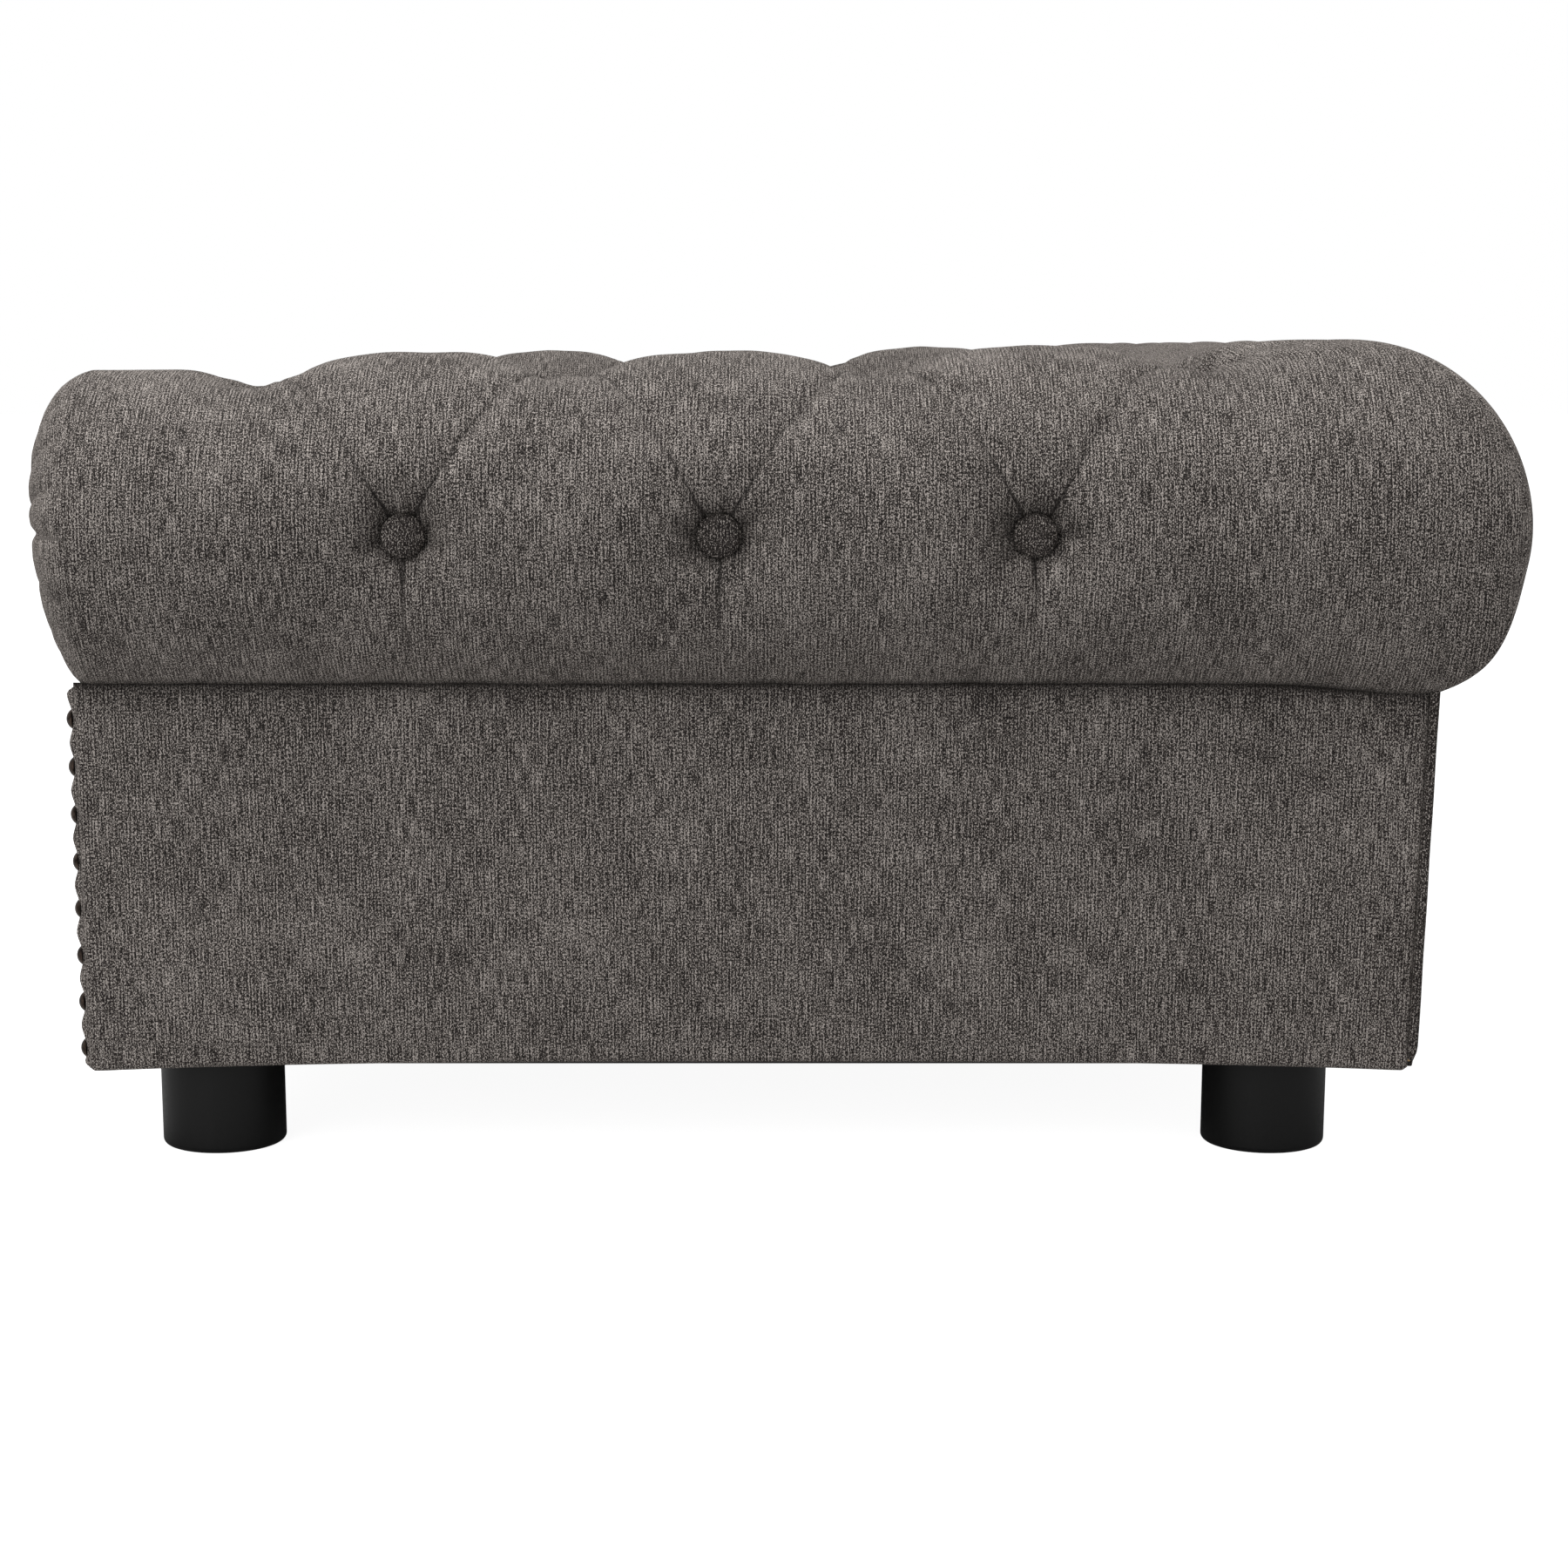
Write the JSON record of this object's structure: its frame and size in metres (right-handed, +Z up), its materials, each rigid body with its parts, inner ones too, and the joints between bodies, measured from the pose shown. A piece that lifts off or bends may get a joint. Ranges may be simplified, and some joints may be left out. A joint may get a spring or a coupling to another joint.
{
  "type": "tufted pet sofa",
  "caption": "Small roll-arm sofa for a pet, with deep-buttoned rolls, a loose seat cushion with a zip, and round feet.",
  "frame": {"origin": "on the floor under the middle of the sofa", "axes": "+X along the sofa towards its right arm as seen from the front, +Y from the front to the back, +Z up"},
  "size_m": [1.02, 0.64, 0.355],
  "materials": {
    "chenille": "ribbed grey-brown chenille",
    "button_chenille": "chenille drawn over button moulds",
    "piping": "chenille wrapped round cord",
    "foot_plastic": "satin moulded polypropylene",
    "nail_bronze": "antique bronze plated",
    "pine": "planed pine",
    "plywood": "sanded plywood",
    "foam": "open-cell foam",
    "zinc_steel": "zinc plated",
    "zip_slider": "dark nickel",
    "zip_tape": "woven polyester",
    "dust_cloth": "spunbonded cloth"
  },
  "bodies": {
    "sofa": {"front_rail": "pine", "rear_rail": "pine", "left_side_rail": "pine", "right_side_rail": "pine", "center_bearer": "pine", "rear_ledger": "pine", "left_ledger": "pine", "right_ledger": "pine", "seat_deck": "plywood", "left_inner_board": "plywood", "right_inner_board": "plywood", "left_outer_board": "plywood", "right_outer_board": "plywood", "back_inner_board": "plywood", "back_outer_board": "plywood", "left_front_post": "pine", "right_front_post": "pine", "left_rear_post": "pine", "right_rear_post": "pine", "back_post": "pine", "left_arm_core": "foam", "right_arm_core": "foam", "back_core": "foam", "frame_bolts": "zinc_steel", "deck_screws": "zinc_steel", "tee_nuts": "zinc_steel", "foot_studs": "zinc_steel", "front_left_foot": "foot_plastic", "front_right_foot": "foot_plastic", "rear_left_foot": "foot_plastic", "rear_right_foot": "foot_plastic", "dust_cloth": "dust_cloth", "left_side_cover": "chenille", "right_side_cover": "chenille", "back_cover": "chenille", "front_apron": "chenille", "left_arm_pad": "chenille", "right_arm_pad": "chenille", "back_pad": "chenille", "left_roll_end": "chenille", "right_roll_end": "chenille", "left_facing": "chenille", "right_facing": "chenille", "left_facing_nails": "nail_bronze", "right_facing_nails": "nail_bronze", "left_arm_buttons": "button_chenille", "right_arm_buttons": "button_chenille", "back_buttons": "button_chenille", "left_end_button": "button_chenille", "right_end_button": "button_chenille", "left_rear_piping": "piping", "right_rear_piping": "piping"},
    "seat_cushion": {"cushion_core": "foam", "cushion_cover": "chenille", "zip_tape": "zip_tape", "zip_chain": "zip_tape"},
    "zip_slider": {"zip_slider": "zip_slider"}
  },
  "joints": [
    {"name": "cushion_lift", "type": "slide", "parent": "sofa", "child": "seat_cushion", "axis": [0, 0, 1], "range_m": [0, 0.3]},
    {"name": "zip_slide", "type": "slide", "parent": "seat_cushion", "child": "zip_slider", "axis": [1, 0, 0], "range_m": [0, 0.54]}
  ]
}
